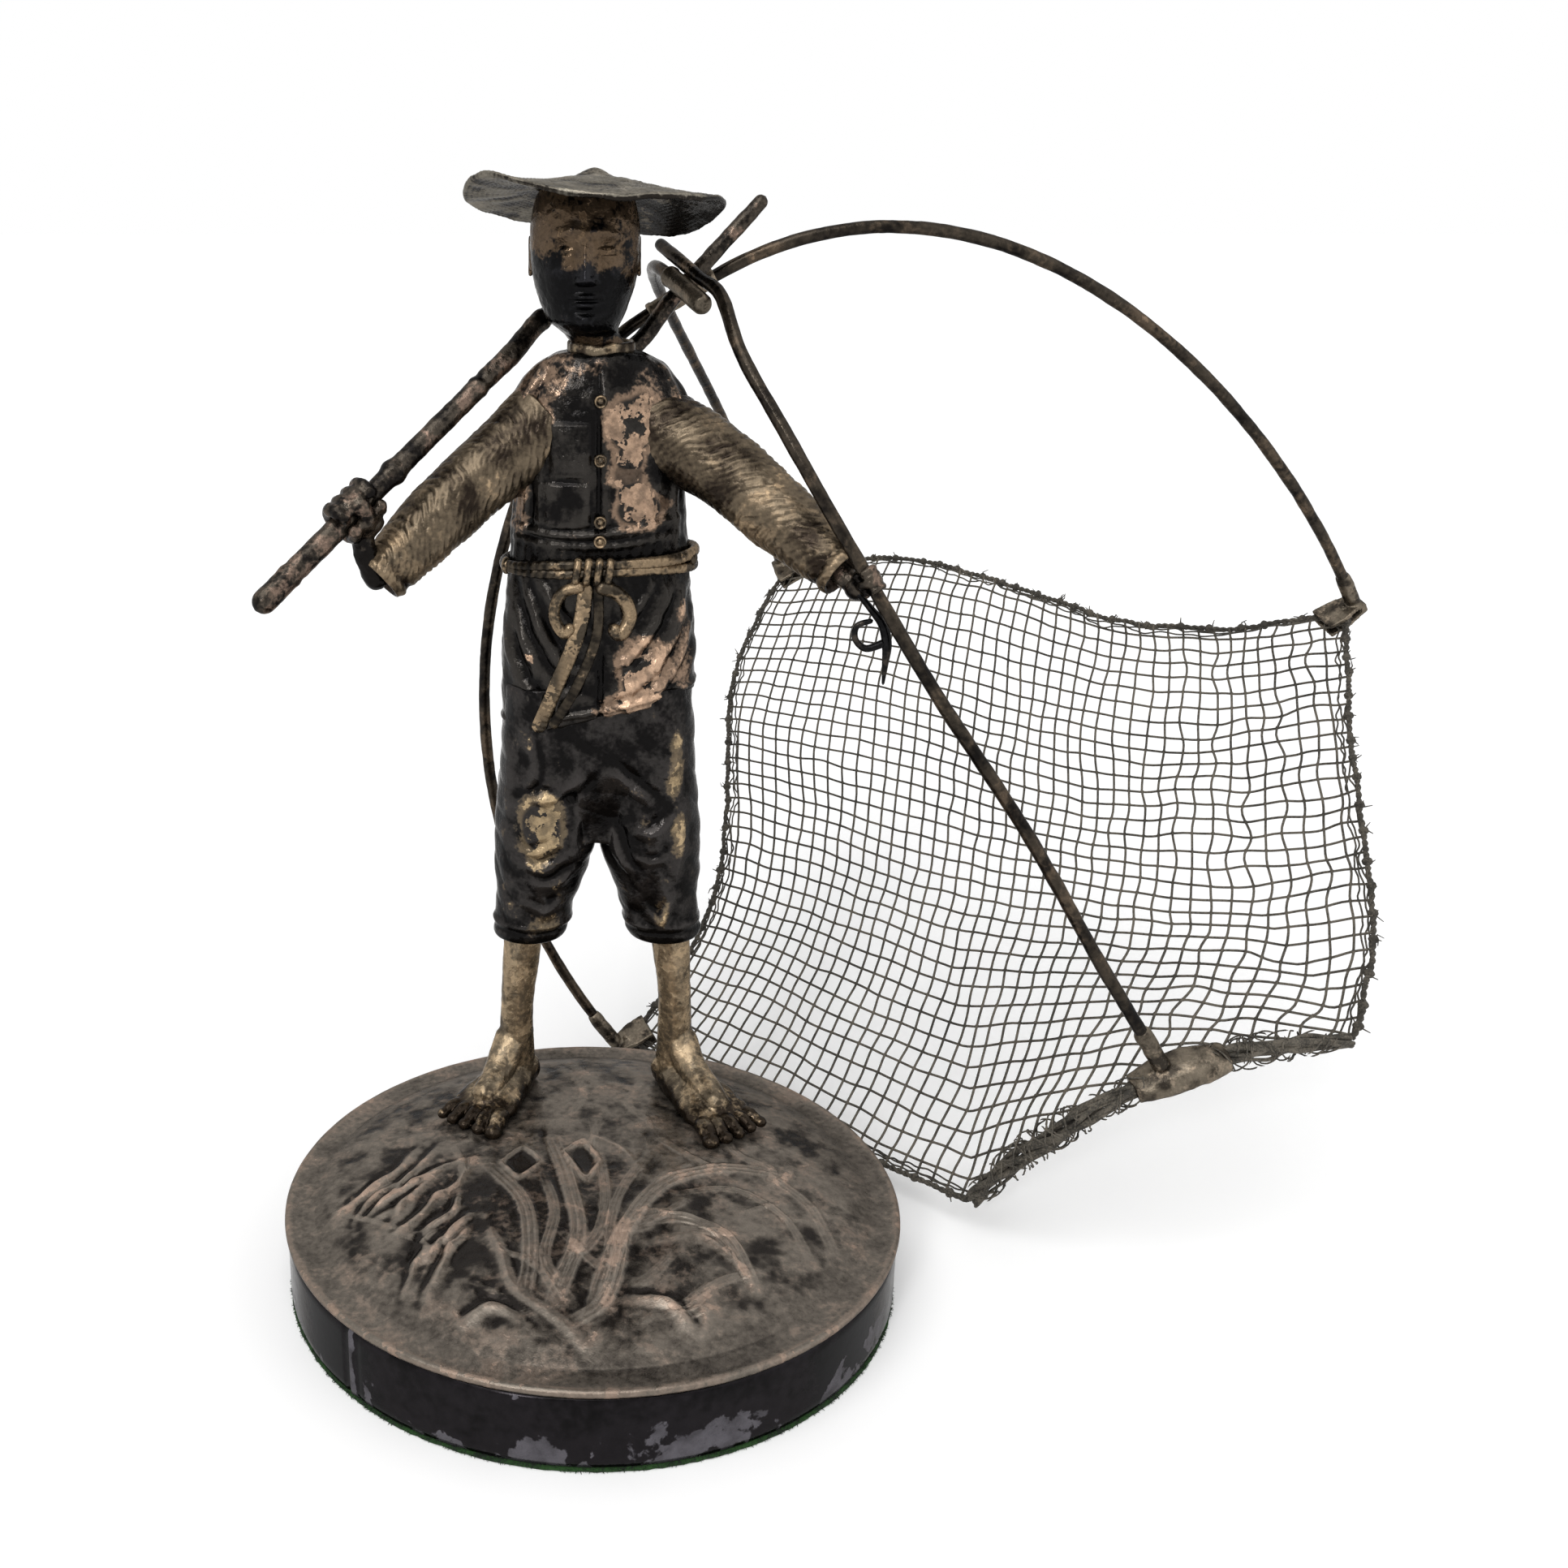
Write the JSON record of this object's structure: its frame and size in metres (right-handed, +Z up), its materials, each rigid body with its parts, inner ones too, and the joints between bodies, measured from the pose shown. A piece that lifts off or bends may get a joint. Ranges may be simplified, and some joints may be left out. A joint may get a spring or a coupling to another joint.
{
  "type": "fisherman figurine",
  "caption": "Standing fisherman figure in tarnished silver plate on a round base, with a square net hung from bowed rods on a shoulder pole.",
  "frame": {"origin": "middle of the felt underside of the base", "axes": "+Z up, -Y the way the figure faces, +X the figure's own left"},
  "size_m": [0.309, 0.3326, 0.2593],
  "materials": {
    "tarnished_silver": "silver plate gone grey-brown, engraved",
    "black_silver": "silver plate tarnished blue-black",
    "worn_copper": "plate rubbed through to copper on the high spots",
    "dull_bronze": "matt, dusty",
    "net_cord": "fine knotted thread",
    "green_felt": "pressed felt",
    "fill_plaster": "cast filling",
    "steel": "plain"
  },
  "bodies": {
    "figure": {"base_felt": "green_felt", "base_weight": "fill_plaster", "base_side_band": "black_silver", "base_top_plate": "dull_bronze", "right_foot": "worn_copper", "right_foot_stud": "steel", "right_foot_nut": "steel", "left_foot": "worn_copper", "left_foot_stud": "steel", "left_foot_nut": "steel", "trousers": "black_silver", "jacket": "black_silver", "jacket_collar": "worn_copper", "jacket_button_1": "worn_copper", "jacket_button_2": "worn_copper", "jacket_button_3": "worn_copper", "jacket_button_4": "worn_copper", "waist_cord": "worn_copper", "waist_cord_bow": "worn_copper", "right_sleeve": "tarnished_silver", "right_forearm_and_fist": "tarnished_silver", "left_sleeve": "tarnished_silver", "left_hand": "tarnished_silver", "line_hook": "black_silver", "head": "tarnished_silver", "hat": "tarnished_silver"},
    "net_frame": {"carrying_pole": "tarnished_silver", "hub_front_socket": "dull_bronze", "hub_side_socket": "dull_bronze", "front_rod": "tarnished_silver", "back_rod": "tarnished_silver", "left_rod": "tarnished_silver", "low_rod": "tarnished_silver", "net": "net_cord", "net_border_cord": "net_cord", "net_fold_roll": "net_cord", "low_clip": "dull_bronze", "back_clip": "dull_bronze", "left_clip": "dull_bronze", "front_clip": "dull_bronze"}
  },
  "joints": [
    {"name": "pole_slide", "type": "slide", "parent": "figure", "child": "net_frame", "axis": [0.6469, 0.4692, 0.6011], "range_m": [0, 0.008]}
  ]
}
